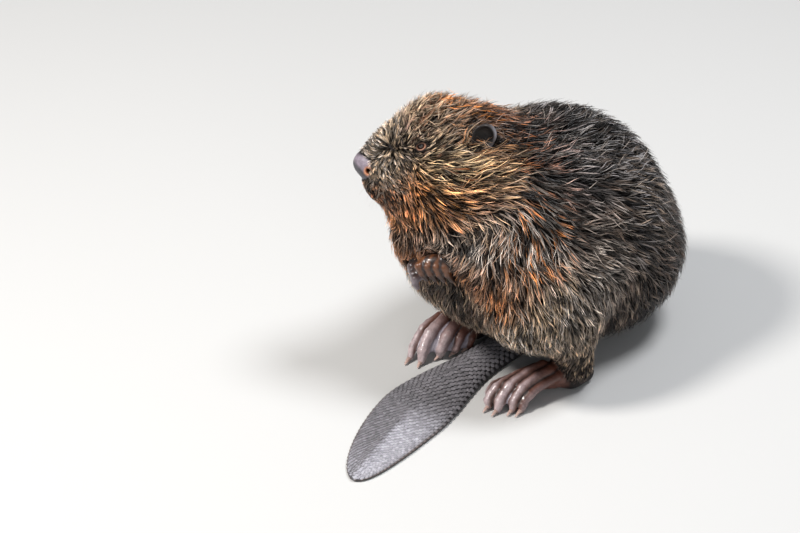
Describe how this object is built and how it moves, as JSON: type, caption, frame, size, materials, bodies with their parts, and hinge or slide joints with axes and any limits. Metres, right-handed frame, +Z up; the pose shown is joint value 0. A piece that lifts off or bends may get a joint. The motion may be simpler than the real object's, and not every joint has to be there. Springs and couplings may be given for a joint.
{
  "type": "beaver",
  "caption": "Life-size beaver sitting up, tail laid forward between webbed hind feet and clawed hands held at the chest; a still display model.",
  "frame": {"origin": "middle of the footprint, on the floor that the rump, hind feet and tail rest on", "axes": "+Z up; the body and tail face -Y, so +Y is behind the back, and the animal's left side is +X"},
  "size_m": [0.2674, 0.537, 0.3362],
  "materials": {
    "coat": "wet brown guard hair in clumped locks",
    "coat_face": "wet rust and straw coloured hair",
    "coat_dark": "wet blackish brown guard hair",
    "ear_skin": "dark thin skin",
    "nose_skin": "moist pebbled skin",
    "foot_skin": "bare wrinkled skin",
    "tail_scale": "bare scaly skin",
    "claw": "smooth horn",
    "eye": "wet gloss"
  },
  "bodies": {
    "root": {"head": "coat_face", "lower_jaw": "coat_face", "nose_pad": "nose_skin", "ear_left": "ear_skin", "eye_left": "eye", "ear_right": "ear_skin", "eye_right": "eye", "neck": "coat", "chest": "coat", "abdomen": "coat", "rump": "coat_dark", "tail_base": "coat_dark", "tail_paddle": "tail_scale", "upper_arm_left": "coat", "forearm_left": "coat", "hand_left": "foot_skin", "thigh_left": "coat", "shank_left": "coat", "hind_foot_left": "foot_skin", "hind_claw_left_1": "claw", "hind_claw_left_2": "claw", "hind_claw_left_3": "claw", "hind_claw_left_4": "claw", "hind_claw_left_5": "claw", "hand_claw_left_1": "claw", "hand_claw_left_2": "claw", "hand_claw_left_3": "claw", "hand_claw_left_4": "claw", "upper_arm_right": "coat", "forearm_right": "coat", "hand_right": "foot_skin", "thigh_right": "coat", "shank_right": "coat", "hind_foot_right": "foot_skin", "hind_claw_right_1": "claw", "hind_claw_right_2": "claw", "hind_claw_right_3": "claw", "hind_claw_right_4": "claw", "hind_claw_right_5": "claw", "hand_claw_right_1": "claw", "hand_claw_right_2": "claw", "hand_claw_right_3": "claw", "hand_claw_right_4": "claw"}
  },
  "joints": []
}
